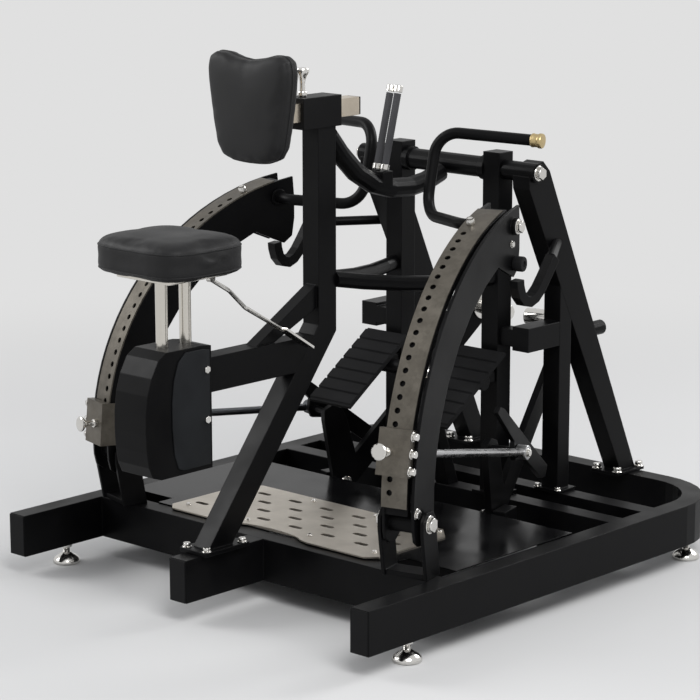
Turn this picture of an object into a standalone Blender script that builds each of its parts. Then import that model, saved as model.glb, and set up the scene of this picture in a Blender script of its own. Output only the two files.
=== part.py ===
"""A plate-loaded, chest-supported seated row machine with two swinging arc levers, in metres, +Z up.

The user sits facing +Y, and +X is the user's right. Each piece is one closed body.
"""
import math

import bmesh
import bpy
from mathutils import Matrix, Vector

# Base frame: rectangular tube bent to a U, standing on four levelling feet.
FOOT_H = 0.06
RAIL_W = 0.06
RAIL_H = 0.12
BASE_HALF = 0.69
BASE_LEN = 1.60
CORNER_R = 0.21
CROSS_Y = 0.294
TIE_Y = 1.07
REAR_Y = 1.22
BEAM = 0.06
SHEET_T = 0.003
SHEET_Y1 = 0.905
LOW_RAIL = 0.1
INNER_X0 = 0.30
INNER_X1 = 0.37
GAP = 0.0003
DECK = FOOT_H + RAIL_H
SEAT_ON_DECK = DECK + GAP

# Arc levers: each swings about a bolt over the front cross tube, in a plane turned in by SPLAY.
# PIVOT is where the lever frame starts. The hinge bolt lies at HINGE_U back and HINGE_W up from it.
SPLAY = math.radians(14.4)
PIVOT = Vector((BASE_HALF - 0.153, CROSS_Y + 0.082, DECK + 0.105))
HINGE_U = -0.088
HINGE_W = 0.045
ARC_U = 0.586
ARC_W = 0.084
ARC_R = 0.725
PLATE_N = 0.047
PLATE_T = 0.008
STRIP_T = 0.004
STRIP_TO = 0.028
WEB_D = 0.02
HOLE_STEP = 2.81
HOLE_FIRST = 114.4
HOLES = 23
HOLE_R = 0.0085
STRIP_LOW = 179.3
CARRIAGE_RIGHT = 167.8
CARRIAGE_LEFT = 175.6
ROD_R = 0.011
ROD_N = 0.0245
TONGUE_END = 0.06
TONGUE_0 = STRIP_TO + 0.002
TONGUE_1 = PLATE_N - PLATE_T - 0.002
EYE_R = 0.012
BAND_D = 0.115

# Weight arms: each turns on an axle on the base, and its rear end carries the plate horn.
AXLE_U = 0.627
AXLE_W = -0.13
AXLE_R = 0.015
ARM_N = 0.086
ARM_T = 0.020
HORN_U = 1.1407
HORN_W = 0.355
HORN_R = 0.025
HORN_L = 0.13

# Chest column, seat and rear frame.
COL_HALF = 0.03
COL_Y0 = 0.52
COL_Y1 = 0.59
COL_TOP = 1.30
BAR_Z = 1.337
BAR = 0.0248
POST_R = 0.016
POST_Y = (-0.045, 0.04)
HOUSE_HALF = 0.06
HOUSE_BACK = 0.075
HOUSE_TOP = 0.766
UP_IN = 0.155
UP_OUT = 0.215
UP_TOP = 1.185
SHAFT_Z = 1.135
SHAFT_R = 0.03
STAY_IN = 0.262
STAY_OUT = 0.322
GRIP_R = 0.0105
HANDLE_R = 0.016

for old in list(bpy.data.objects):
    bpy.data.objects.remove(old)
scene = bpy.context.scene
helpers = bpy.data.collections.new("helpers")
scene.collection.children.link(helpers)
helpers.hide_render = True


def put(name, bm):
    """A new object from a bmesh, with its faces turned out."""
    bmesh.ops.remove_doubles(bm, verts=bm.verts, dist=1e-6)
    bmesh.ops.recalc_face_normals(bm, faces=bm.faces)
    mesh = bpy.data.meshes.new(name)
    bm.to_mesh(mesh)
    bm.free()
    obj = bpy.data.objects.new(name, mesh)
    scene.collection.objects.link(obj)
    return obj


def box(x0, x1, y0, y1, z0, z1):
    return prism([(y0, z0), (y1, z0), (y1, z1), (y0, z1)], x0, x1)


def prism(points, x0, x1):
    """A polygon in the YZ plane, drawn out along X."""
    bm = bmesh.new()
    low = [bm.verts.new((x0, y, z)) for y, z in points]
    high = [bm.verts.new((x1, y, z)) for y, z in points]
    count = len(points)
    bm.faces.new(low)
    bm.faces.new(list(reversed(high)))
    for i in range(count):
        j = (i + 1) % count
        bm.faces.new((low[i], low[j], high[j], high[i]))
    bm.normal_update()
    bmesh.ops.triangulate(bm, faces=[f for f in bm.faces if len(f.verts) > 4])
    return put("prism", bm)


def flat(points, z0, z1):
    """A polygon in the XY plane, drawn out along Z."""
    bm = bmesh.new()
    low = [bm.verts.new((x, y, z0)) for x, y in points]
    high = [bm.verts.new((x, y, z1)) for x, y in points]
    count = len(points)
    bm.faces.new(low)
    bm.faces.new(list(reversed(high)))
    for i in range(count):
        j = (i + 1) % count
        bm.faces.new((low[i], low[j], high[j], high[i]))
    bm.normal_update()
    bmesh.ops.triangulate(bm, faces=[f for f in bm.faces if len(f.verts) > 4])
    return put("flat", bm)


def lathe(profile, start, axis, steps=16):
    """Rings of (radius, distance along the axis), closed at both ends."""
    axis = Vector(axis).normalized()
    side = axis.orthogonal().normalized()
    other = axis.cross(side)
    bm = bmesh.new()
    rings = []
    for radius, along in profile:
        ring = []
        for i in range(steps):
            turn = 2 * math.pi * i / steps
            out = side * math.cos(turn) + other * math.sin(turn)
            ring.append(bm.verts.new(Vector(start) + axis * along + out * radius))
        rings.append(ring)
    for a, b in zip(rings, rings[1:]):
        for i in range(steps):
            j = (i + 1) % steps
            bm.faces.new((a[i], a[j], b[j], b[i]))
    bm.faces.new(rings[0])
    bm.faces.new(rings[-1])
    return put("lathe", bm)


def rod(start, end, radius, steps=14):
    span = Vector(end) - Vector(start)
    return lathe([(radius, 0), (radius, span.length)], start, span, steps)


def rounded(points, radius, steps=5):
    """The path with its inner corners turned into arcs."""
    path = [Vector(points[0])]
    for before, corner, after in zip(points, points[1:], points[2:]):
        corner = Vector(corner)
        a = (Vector(before) - corner).normalized()
        b = (Vector(after) - corner).normalized()
        half = a.angle(b) / 2
        cut = radius / math.tan(half)
        centre = corner + (a + b).normalized() * (radius / math.sin(half))
        first = corner + a * cut - centre
        last = corner + b * cut - centre
        turn = first.angle(last)
        for i in range(steps + 1):
            t = i / steps
            mix = first * math.sin((1 - t) * turn) + last * math.sin(t * turn)
            path.append(centre + mix / math.sin(turn))
    path.append(Vector(points[-1]))
    return path


def sweep(path, section, up):
    """A closed section of (across, up) points carried along a path."""
    bm = bmesh.new()
    rings = []
    up = Vector(up)
    for i, point in enumerate(path):
        before = (path[i] - path[i - 1]).normalized() if i else None
        after = (path[i + 1] - path[i]).normalized() if i + 1 < len(path) else None
        along = (before or after) + (after or before)
        along.normalize()
        stretch = 1 / max(0.5, along.dot(after or before))
        across = along.cross(up).normalized()
        rise = across.cross(along).normalized()
        ring = []
        for a, b in section:
            ring.append(bm.verts.new(point + across * a * stretch + rise * b))
        rings.append(ring)
    count = len(section)
    for a, b in zip(rings, rings[1:]):
        for i in range(count):
            j = (i + 1) % count
            bm.faces.new((a[i], a[j], b[j], b[i]))
    bm.faces.new(rings[0])
    bm.faces.new(rings[-1])
    return put("sweep", bm)


def round_section(radius, steps=12):
    return [(radius * math.cos(2 * math.pi * i / steps), radius * math.sin(2 * math.pi * i / steps))
            for i in range(steps)]


def combine(base, others, operation):
    """Booleans one after the other, then the result kept as a plain mesh."""
    for other in others:
        modifier = base.modifiers.new("cut", "BOOLEAN")
        modifier.operation = operation
        modifier.solver = "EXACT"
        modifier.object = other
    bpy.context.view_layer.update()
    graph = bpy.context.evaluated_depsgraph_get()
    mesh = bpy.data.meshes.new_from_object(base.evaluated_get(graph))
    base.modifiers.clear()
    base.data = mesh
    for other in others:
        bpy.data.objects.remove(other)
    return base


def fuse(*pieces):
    return combine(pieces[0], pieces[1:], "UNION")


def cut(base, *tools):
    return combine(base, tools, "DIFFERENCE")


def name_it(name, obj, origin=(0, 0, 0)):
    """Gives the piece its name and puts its origin on its joint."""
    obj.data.transform(Matrix.Translation(-Vector(origin)))
    obj.location = origin
    obj.name = name
    obj.data.name = name
    return obj


def mirrored(obj):
    mesh = obj.data.copy()
    mesh.transform(Matrix.Diagonal((-1, 1, 1, 1)))
    mesh.flip_normals()
    copy = bpy.data.objects.new(obj.name, mesh)
    scene.collection.objects.link(copy)
    return copy


def pair(name, obj, frame=Matrix(), origin=(0, 0, 0)):
    """The right-hand piece and its mirror image."""
    obj.data.transform(frame)
    other = mirrored(obj)
    spot = Vector(origin)
    name_it(name + "_right", obj, spot)
    name_it(name + "_left", other, (-spot.x, spot.y, spot.z))


# The lever frame holds (across, back, up) from the pivot bolt, turned in by the splay.
LEVER = Matrix.Translation(PIVOT) @ Matrix.Rotation(SPLAY, 4, "Z")
AT_HINGE = LEVER @ Matrix.Translation((0, HINGE_U, HINGE_W))
HINGE = AT_HINGE.to_translation()


def on_arc(radius, degrees):
    turn = math.radians(degrees)
    return (ARC_U + radius * math.cos(turn), ARC_W + radius * math.sin(turn))


def band(inner, outer, first, last, n0, n1, steps=28):
    turns = [first + (last - first) * i / steps for i in range(steps + 1)]
    points = [on_arc(outer, a) for a in turns] + [on_arc(inner, a) for a in reversed(turns)]
    return prism(points, n0, n1)


# Base frame, one welded body.
mid = FOOT_H + RAIL_H / 2
line = BASE_HALF - RAIL_W / 2
back = BASE_LEN - RAIL_W / 2
u_path = rounded([(-line, 0, mid), (-line, back, mid), (line, back, mid), (line, 0, mid)], CORNER_R, 8)
tube = [(-RAIL_W / 2, -RAIL_H / 2), (RAIL_W / 2, -RAIL_H / 2), (RAIL_W / 2, RAIL_H / 2), (-RAIL_W / 2, RAIL_H / 2)]
inside = BASE_HALF - RAIL_W + 0.004
low = FOOT_H + 0.0005
high = DECK - 0.0005
base = fuse(
    sweep(u_path, tube, (0, 0, 1)),
    box(-inside, inside, CROSS_Y, CROSS_Y + BEAM, low, DECK),
    box(-BEAM / 2, BEAM / 2, 0, CROSS_Y + 0.004, low + 0.0004, high + 0.0003),
    box(-inside, inside, TIE_Y, TIE_Y + BEAM, low, DECK),
    box(-inside, inside, REAR_Y, REAR_Y + BEAM, low + 0.03, DECK),
    box(INNER_X0, INNER_X1, CROSS_Y + BEAM - 0.004, TIE_Y + 0.004, low + 0.0006, LOW_RAIL),
    box(-INNER_X1, -INNER_X0, CROSS_Y + BEAM - 0.004, TIE_Y + 0.004, low + 0.0006, LOW_RAIL),
    box(INNER_X0 + 0.0006, INNER_X1 - 0.0006, CROSS_Y + BEAM - 0.002, SHEET_Y1, LOW_RAIL - 0.005, DECK),
    box(-INNER_X1 + 0.0006, -INNER_X0 - 0.0006, CROSS_Y + BEAM - 0.002, SHEET_Y1, LOW_RAIL - 0.005, DECK),
)
name_it("base_frame", base)

# Rail end caps, pushed on to the three open front ends.
CAP_T = 0.004
for tag, centre in (("left", -line), ("mid", 0), ("right", line)):
    half = RAIL_W / 2 - 0.001
    cap = box(centre - half, centre + half, -CAP_T - GAP, -GAP, FOOT_H + 0.002, DECK - 0.002)
    name_it("rail_cap_" + tag, cap)

# Levelling feet: a bell foot under a threaded stem and lock nut.
FOOT_PROFILE = [(0.036, 0), (0.040, 0.004), (0.038, 0.013), (0.026, 0.024), (0.013, 0.030), (0.010, 0.032),
                (0.010, 0.047), (0.016, 0.0471), (0.016, FOOT_H - GAP)]
for tag, x, y in (("front_left", -line, 0.18), ("front_right", line, 0.18), ("rear_left", -line + 0.02, BASE_LEN - 0.17),
                  ("rear_right", line - 0.02, BASE_LEN - 0.17)):
    name_it("foot_" + tag, lathe(FOOT_PROFILE, (x, y, 0), (0, 0, 1), 18))

# Floor sheet on the two inner rails, notched round the lever bases.
NOTCH_X = 0.455
NOTCH_Y = 0.412
sheet_in = BASE_HALF - RAIL_W - 0.004
sheet_y0 = CROSS_Y + BEAM + 0.002
sheet_edge = [(-NOTCH_X, sheet_y0), (NOTCH_X, sheet_y0), (NOTCH_X, NOTCH_Y), (sheet_in, NOTCH_Y), (sheet_in, SHEET_Y1),
              (-sheet_in, SHEET_Y1), (-sheet_in, NOTCH_Y), (-NOTCH_X, NOTCH_Y)]
name_it("floor_sheet", flat(sheet_edge, SEAT_ON_DECK, SEAT_ON_DECK + SHEET_T))

# Step plate on the floor sheet, with oval slots and a hollowed front edge.
STEP_T = 0.004
STEP_HALF = 0.40
STEP_Z = SEAT_ON_DECK + SHEET_T + GAP
STEP_Y0 = 0.33
STEP_Y1 = 0.68
edge = [(-STEP_HALF, STEP_Y0 + 0.03), (-STEP_HALF + 0.03, STEP_Y0)]
edge += [(-0.16, STEP_Y0)]
edge += [(0.13 * math.sin(math.radians(a)), STEP_Y0 + 0.035 * math.cos(math.radians(a))) for a in range(-75, 76, 15)]
edge += [(0.16, STEP_Y0), (STEP_HALF - 0.03, STEP_Y0), (STEP_HALF, STEP_Y0 + 0.03)]
edge += [(STEP_HALF, STEP_Y1 - 0.05), (STEP_HALF - 0.05, STEP_Y1), (-STEP_HALF + 0.05, STEP_Y1), (-STEP_HALF, STEP_Y1 - 0.05)]
step = flat(edge, STEP_Z, STEP_Z + STEP_T)
slots = bmesh.new()
SLOT_L = 0.016
SLOT_R = 0.009
for row in range(4):
    for column in range(6):
        cx = -0.31 + 0.124 * column + (0.03 if row % 2 else -0.03)
        cy = 0.42 + 0.065 * row
        ends = [(cx + SLOT_L + SLOT_R * math.cos(math.radians(a)), cy + SLOT_R * math.sin(math.radians(a))) for a in (-90, -30, 30, 90)]
        ends += [(cx - SLOT_L + SLOT_R * math.cos(math.radians(a)), cy + SLOT_R * math.sin(math.radians(a))) for a in (90, 150, 210, 270)]
        rims = [[slots.verts.new((x, y, z)) for x, y in ends] for z in (DECK - 0.01, DECK + 0.02)]
        slots.faces.new(rims[0])
        slots.faces.new(rims[1])
        for i in range(8):
            j = (i + 1) % 8
            slots.faces.new((rims[0][i], rims[0][j], rims[1][j], rims[1][i]))
name_it("step_plate", cut(step, put("slots", slots)))

# Chest column: vertical tube, mitred to a slanted leg with a bolted foot, sleeve at the top, seat arm and brace.
FLANGE_T = 0.012
leg0 = SEAT_ON_DECK + FLANGE_T - 0.001
column = prism([(0.085, leg0), (0.175, leg0), (COL_Y1, 0.72), (COL_Y1, COL_TOP), (COL_Y0, COL_TOP), (COL_Y0, 0.745)],
               -COL_HALF, COL_HALF)
sleeve = box(-0.036, 0.036, 0.457, 0.607, 1.291, 1.376)
bolts = [rod((x, y, SEAT_ON_DECK + FLANGE_T - 0.001), (x, y, SEAT_ON_DECK + FLANGE_T + 0.009), 0.008, 8)
         for x in (-0.038, 0.038) for y in (0.07, 0.205)]
column = fuse(
    column,
    box(-0.05, 0.05, 0.055, 0.22, SEAT_ON_DECK, SEAT_ON_DECK + FLANGE_T),
    box(-COL_HALF + 0.0004, COL_HALF - 0.0004, HOUSE_BACK + GAP, 0.50, 0.625, 0.72),
    prism([(0.27, 0.712), (0.335, 0.712), (0.535, 0.80), (0.535, 0.865)], -0.02, 0.02),
    sleeve,
    *bolts,
)
hole = BAR + GAP
column = cut(column, box(-hole, hole, 0.40, 0.66, BAR_Z - hole, BAR_Z + hole))
name_it("chest_column", column)

# Chest pad bar: square bar sliding in the sleeve, with the pad's back plate.
PAD_BACK = 0.33
bar = fuse(
    box(-BAR, BAR, PAD_BACK + 0.005, 0.69, BAR_Z - BAR, BAR_Z + BAR),
    box(-0.06, 0.06, PAD_BACK + GAP, PAD_BACK + 0.006, 1.26, 1.42),
    box(-BAR + 0.002, BAR - 0.002, 0.689, 0.694, BAR_Z - BAR + 0.002, BAR_Z + BAR - 0.002),
)
name_it("chest_bar", bar)


def cushion(outline, centre, rings, place):
    """A padded solid: the outline drawn in and lifted ring by ring, then closed at the middle."""
    bm = bmesh.new()
    made = []
    for scale, inset, height in rings:
        ring = []
        for x, y in outline:
            way = Vector((x - centre[0], y - centre[1]))
            far = way.length
            way = way * (max(0.0, far * scale - inset) / far)
            ring.append(bm.verts.new(place(centre[0] + way.x, centre[1] + way.y, height)))
        made.append(ring)
    count = len(outline)
    for a, b in zip(made, made[1:]):
        for i in range(count):
            j = (i + 1) % count
            bm.faces.new((a[i], a[j], b[j], b[i]))
    first = bm.verts.new(place(centre[0], centre[1], rings[0][2]))
    last = bm.verts.new(place(centre[0], centre[1], rings[-1][2] + 0.0015))
    for i in range(count):
        j = (i + 1) % count
        bm.faces.new((made[0][j], made[0][i], first))
        bm.faces.new((made[-1][i], made[-1][j], last))
    return put("cushion", bm)


# Chest pad: a rounded shield that narrows downwards, with a dip in its top edge.
SHIELD = [(0.0, 1.497), (0.05, 1.503), (0.09, 1.512), (0.125, 1.512), (0.148, 1.498), (0.155, 1.47), (0.153, 1.43),
          (0.145, 1.37), (0.134, 1.31), (0.12, 1.255), (0.098, 1.224), (0.06, 1.212), (0.03, 1.209)]
shield = SHIELD + [(0.0, 1.208)] + [(-x, z) for x, z in reversed(SHIELD[1:])]
pad_rings = [(1, 0.012, 0.0), (1, 0.003, 0.004), (1, 0.0, 0.014), (1, 0.003, 0.026), (1, 0.001, 0.032), (1, 0.002, 0.05),
             (1, 0.009, 0.058), (1, 0.022, 0.0625), (0.75, 0.018, 0.066), (0.45, 0.01, 0.0685)]
name_it("chest_pad", cushion(shield, (0, 1.365), pad_rings, lambda x, z, h: (x, PAD_BACK - h, z)))

# Chest pin: a pull knob on the sleeve.
PIN_PROFILE = [(0.013, 0), (0.013, 0.014), (0.009, 0.0145), (0.008, 0.035), (0.009, 0.045), (0.018, 0.066), (0.019, 0.076),
               (0.014, 0.079)]
name_it("chest_pin", lathe(PIN_PROFILE, (0, 0.49, 1.376 + GAP), (0, 0, 1), 14))

# Seat housing: a D-shaped box on the seat arm, bored for the two posts.
DEE = [(HOUSE_BACK, 0.43), (HOUSE_BACK, 0.762), (0.05, HOUSE_TOP), (-0.085, HOUSE_TOP), (-0.115, 0.748), (-0.14, 0.705),
       (-0.155, 0.66), (-0.162, 0.61), (-0.163, 0.56), (-0.16, 0.51), (-0.154, 0.47), (-0.14, 0.44), (-0.11, 0.43)]
house_bolts = [rod((HOUSE_HALF - 0.001, 0.055, z), (HOUSE_HALF + 0.006, 0.055, z), 0.009, 10) for z in (0.70, 0.565)]
house = fuse(prism(DEE, -HOUSE_HALF, HOUSE_HALF), *house_bolts)
bores = [rod((0, y, 0.445), (0, y, 0.80), POST_R + 0.0006, 18) for y in POST_Y]
name_it("seat_housing", cut(house, *bores))

# Seat carriage: two posts under a plate.
SEAT_PLATE = 0.95
posts = [rod((0, y, 0.62), (0, y, SEAT_PLATE + 0.002), POST_R, 18) for y in POST_Y]
name_it("seat_carriage", fuse(box(-0.10, 0.10, -0.11, 0.10, SEAT_PLATE, SEAT_PLATE + 0.012), *posts))

# Seat pad: a cushion with a crowned top and drawn-in sides.
SEAT_MID = -0.012
SEAT_DEEP = 0.155
seat_outline = []
for i in range(36):
    turn = 2 * math.pi * i / 36
    c, s = math.cos(turn), math.sin(turn)
    seat_outline.append((0.175 * math.copysign(abs(c) ** 0.5, c), SEAT_MID + SEAT_DEEP * math.copysign(abs(s) ** 0.5, s)))
seat_rings = [(1, 0.014, 0.0), (1, 0.003, 0.006), (1, 0.0, 0.02), (1, 0.002, 0.045), (1, 0.0, 0.07), (1, 0.005, 0.084),
              (1, 0.017, 0.0925), (0.8, 0.014, 0.098), (0.5, 0.008, 0.1015)]
SEAT_Z = SEAT_PLATE + 0.012 + GAP
name_it("seat_pad", cushion(seat_outline, (0, SEAT_MID), seat_rings, lambda x, y, h: (x, y, SEAT_Z + h)))

# Seat release: a bent rod under the seat plate with a flat paddle.
REL_X = 0.062
rel_path = rounded([(REL_X, 0.075, 0.938), (REL_X, 0.14, 0.90), (REL_X, 0.20, 0.845), (REL_X, 0.345, 0.762)], 0.05, 3)
paddle = prism([(0.335, 0.766), (0.44, 0.700), (0.442, 0.706), (0.337, 0.772)], REL_X - 0.02, REL_X + 0.025)
lug = rod((REL_X - 0.008, 0.075, 0.94), (REL_X + 0.008, 0.075, 0.94), 0.0095, 14)
name_it("seat_release", fuse(sweep(rel_path, round_section(0.006, 8), (1, 0, 0)), paddle, lug), (REL_X, 0.075, 0.94))

# Spine brace: bent tube from the column to the top shaft, with the block that holds the two fixed grips.
spine_path = [Vector((0, y, z)) for y, z in ((COL_Y1 + GAP, 1.262), (0.64, 1.205), (0.70, 1.150), (0.77, 1.110), (0.85, 1.088),
                                             (0.93, 1.083), (1.0, 1.092), (1.062, 1.112))]
spine = sweep(spine_path, round_section(0.028, 14), (1, 0, 0))
spine_end = cut(spine, box(-0.1, 0.1, COL_Y1 - 0.1, COL_Y1 + GAP, 1.0, 1.4))
spine_end = fuse(spine_end, box(-0.0275, 0.0275, 0.787, 0.828, 1.10, 1.142))
name_it("spine_brace", cut(spine_end, rod((-0.2, TIE_Y + 0.03, SHAFT_Z), (0.2, TIE_Y + 0.03, SHAFT_Z), SHAFT_R + GAP, 20)))

# Fixed grips, standing side by side on the spine.
grip_way = Vector((0, 0.066, 0.25)).normalized()
grip = lathe([(GRIP_R + 0.002, 0), (GRIP_R + 0.002, 0.014), (GRIP_R, 0.0142), (GRIP_R, 0.222), (GRIP_R + 0.002, 0.2222),
              (GRIP_R + 0.002, 0.238), (GRIP_R, 0.241)],
             (GRIP_R + 0.004, 0.806, 1.1455), grip_way, 14)
pair("grip", grip)

# Rear frame: two uprights with flanged feet. The shaft between them is its own piece.
def upright(sign):
    x0, x1 = sorted((sign * UP_IN, sign * UP_OUT))
    y1 = TIE_Y + BEAM
    return fuse(
        box(x0, x1, TIE_Y, y1, SEAT_ON_DECK, UP_TOP),
        box(x0 - 0.02, x1 + 0.02, TIE_Y - 0.012, y1 + 0.012, SEAT_ON_DECK + 0.0004, SEAT_ON_DECK + 0.01),
    )


name_it("upright_right", upright(1))
name_it("upright_left", upright(-1))
shaft_y = TIE_Y + BEAM / 2
shaft = lathe([(SHAFT_R + 0.006, 0), (SHAFT_R + 0.006, 0.02), (SHAFT_R, 0.0201), (SHAFT_R, 2 * UP_IN - 0.0207),
               (SHAFT_R + 0.006, 2 * UP_IN - 0.0206), (SHAFT_R + 0.006, 2 * UP_IN - 2 * GAP)],
              (-UP_IN + GAP, shaft_y, SHAFT_Z), (1, 0, 0), 20)
name_it("top_shaft", shaft)

# Rear stays: slanted leg, upright post and tie beam, bolted to the upright and to the base.
FOOT_Y = BASE_LEN - 0.035
FOOT_FRONT = 0.075
FOOT_BACK = 0.055


def leg_y(z):
    """The middle of the slanted leg at this height."""
    return 1.12 + (FOOT_Y - 1.12) * (1.1125 - z) / (1.1125 - SEAT_ON_DECK - 0.008)


stay_mid = (STAY_IN + STAY_OUT) / 2
leg = prism([(1.10, 1.155), (1.135, 1.165), (1.165, 1.135), (FOOT_Y + 0.036, SEAT_ON_DECK + 0.008), (FOOT_Y - 0.036, SEAT_ON_DECK + 0.008),
             (1.075, 1.09), (1.072, 1.125)], STAY_IN, STAY_OUT)
stay = fuse(
    leg,
    box(STAY_IN + 0.0004, STAY_OUT - 0.0004, REAR_Y + 0.004, REAR_Y + BEAM - 0.004, SEAT_ON_DECK + 0.008, 0.80),
    box(STAY_IN + 0.0008, STAY_OUT - 0.0008, 1.08, REAR_Y + 0.02, 0.62, 0.69),
    box(UP_OUT + GAP, STAY_IN + 0.01, 1.08, 1.125, 0.63, 0.68),
    box(STAY_IN - 0.015, STAY_OUT + 0.015, REAR_Y - 0.01, REAR_Y + BEAM + 0.01, SEAT_ON_DECK, SEAT_ON_DECK + 0.009),
    box(STAY_IN - 0.02, STAY_OUT + 0.02, FOOT_Y - FOOT_FRONT, FOOT_Y + FOOT_BACK, SEAT_ON_DECK, SEAT_ON_DECK + 0.009),
    rod((UP_OUT + GAP, shaft_y, SHAFT_Z), (STAY_OUT + 0.012, shaft_y, SHAFT_Z), SHAFT_R - 0.002, 18),
    rod((STAY_OUT + 0.011, shaft_y, SHAFT_Z), (STAY_OUT + 0.026, shaft_y, SHAFT_Z), 0.015, 12),
    rod((stay_mid, leg_y(0.637), 0.637), (stay_mid, leg_y(0.637) + 0.106, 0.637), 0.022, 14),
    *[rod((x, y, SEAT_ON_DECK + 0.008), (x, y, SEAT_ON_DECK + 0.022), 0.009, 8)
      for x in (STAY_IN - 0.008, STAY_OUT + 0.008) for y in (FOOT_Y - 0.062, FOOT_Y + 0.045)],
)
pair("stay", stay)

# Curved ties from the column's back to the uprights.
tie_path = [Vector(p) for p in ((0.014, COL_Y1 - 0.02, 0.868), (0.05, 0.68, 0.848), (0.095, 0.80, 0.832), (0.140, 0.92, 0.822),
                                (0.172, 1.01, 0.820), (0.19, TIE_Y + 0.02, 0.824))]
tie = sweep(tie_path, round_section(0.022, 14), (0, 0, 1))
tie = cut(tie, box(-0.2, 0.2, COL_Y1 - 0.2, COL_Y1 + GAP, 0.8, 0.95), box(0, 0.3, TIE_Y - GAP, TIE_Y + 0.2, 0.8, 0.95))
pair("curved_tie", cut(tie, box(-0.1, GAP, 0.5, 0.8, 0.8, 0.95)))

# Footrest: cross tube on two arms from the uprights, with a strut down to the base.
REST_Y = 0.98
REST_Z = 0.537
rest = fuse(
    rod((-0.245, REST_Y, REST_Z), (0.245, REST_Y, REST_Z), 0.022, 16),
    box(0.16, 0.21, REST_Y, TIE_Y - GAP, REST_Z - 0.015, REST_Z + 0.015),
    box(-0.21, -0.16, REST_Y, TIE_Y - GAP, REST_Z - 0.015, REST_Z + 0.015),
    prism([(REST_Y - 0.018, REST_Z - 0.01), (REST_Y + 0.016, REST_Z), (1.125, SEAT_ON_DECK), (1.08, SEAT_ON_DECK)], -0.025, 0.025),
)
name_it("footrest_bar", rest)
plate_way = Vector((0, -0.26, -0.177)).normalized()
plate_out = Vector((0, -plate_way.z, plate_way.y)) * -1
plate_top = Vector((0, REST_Y, REST_Z)) + plate_out * (0.022 + GAP) - plate_way * 0.10
PLATE_L = 0.31
PLATE_K = 0.009
profile = [(0, 0), (0, PLATE_K)]
for i in range(7):
    near = 0.006 + i * 0.043
    profile += [(near, PLATE_K), (near + 0.003, PLATE_K + 0.005), (near + 0.036, PLATE_K + 0.005), (near + 0.039, PLATE_K)]
profile += [(PLATE_L, PLATE_K), (PLATE_L, 0)]
shape = [plate_top + plate_way * a + plate_out * b for a, b in profile]
pair("footplate", prism([(p.y, p.z) for p in shape], 0.105, 0.265))

# Lever bases: two cheeks and a pivot bolt on the front cross tube.
CHEEK = PLATE_N + 0.010
floor_w = SEAT_ON_DECK - HINGE.z
cheek_shape = [(-0.012, floor_w), (0.062, floor_w), (0.042, -0.03), (0.036, 0.012), (0.02, 0.033), (-0.015, 0.034), (-0.036, 0.014),
               (-0.036, -0.02)]
lever_base = fuse(
    prism(cheek_shape, CHEEK, CHEEK + 0.010),
    prism(cheek_shape, -CHEEK - 0.010, -CHEEK),
    box(-CHEEK - 0.009, CHEEK + 0.009, -0.008, 0.055, floor_w + 0.0004, floor_w + 0.014),
    rod((-CHEEK - 0.018, 0, 0), (CHEEK + 0.018, 0, 0), 0.010, 14),
    rod((CHEEK + 0.009, 0, 0), (CHEEK + 0.022, 0, 0), 0.017, 12),
    rod((-CHEEK - 0.022, 0, 0), (-CHEEK - 0.009, 0, 0), 0.017, 12),
)
pair("lever_base", lever_base, AT_HINGE, HINGE)

# Levers: two crescent plates with a web along the outer edge, a pivot boss and a top spacer.
TOP_A = 98.0
LOW_A = 184.0
turns = [TOP_A + (LOW_A - TOP_A) * i / 24 for i in range(25)]
crescent = [on_arc(ARC_R - GAP, a) for a in turns]
crescent += [(HINGE_U + a, HINGE_W + b) for a, b in ((-0.042, -0.041), (-0.020, -0.057), (0.016, -0.057), (0.042, -0.039))]
crescent += [on_arc(ARC_R - BAND_D, a) for a in (182, 176, 168, 160, 150, 140, 130, 120, 112)]
crescent += [(0.42, 0.622), (0.455, 0.608), (0.482, 0.628), (0.490, 0.68), (0.490, 0.74)]
inner_n = PLATE_N - PLATE_T
lever = fuse(
    prism(crescent, inner_n, PLATE_N),
    prism(crescent, -PLATE_N, -inner_n),
    band(ARC_R - WEB_D, ARC_R - 0.004, TOP_A + 3, LOW_A - 3, -PLATE_N + 0.002, STRIP_TO - 0.0015, 19),
    rod((-PLATE_N + 0.001, HINGE_U, HINGE_W), (PLATE_N - 0.001, HINGE_U, HINGE_W), 0.028, 18),
    prism([(0.41, 0.665), (0.47, 0.64), (0.478, 0.70), (0.476, 0.745), (0.43, 0.715)], -PLATE_N + 0.003, PLATE_N - 0.003),
    rod((PLATE_N - 0.001, 0.452, 0.748), (PLATE_N + 0.012, 0.452, 0.748), 0.024, 14),
    rod((PLATE_N + 0.011, 0.452, 0.748), (PLATE_N + 0.026, 0.452, 0.748), 0.013, 10),
)
lever = cut(lever, rod((-0.06, HINGE_U, HINGE_W), (0.06, HINGE_U, HINGE_W), 0.0105, 16))
pair("lever", lever, LEVER, HINGE)

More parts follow.
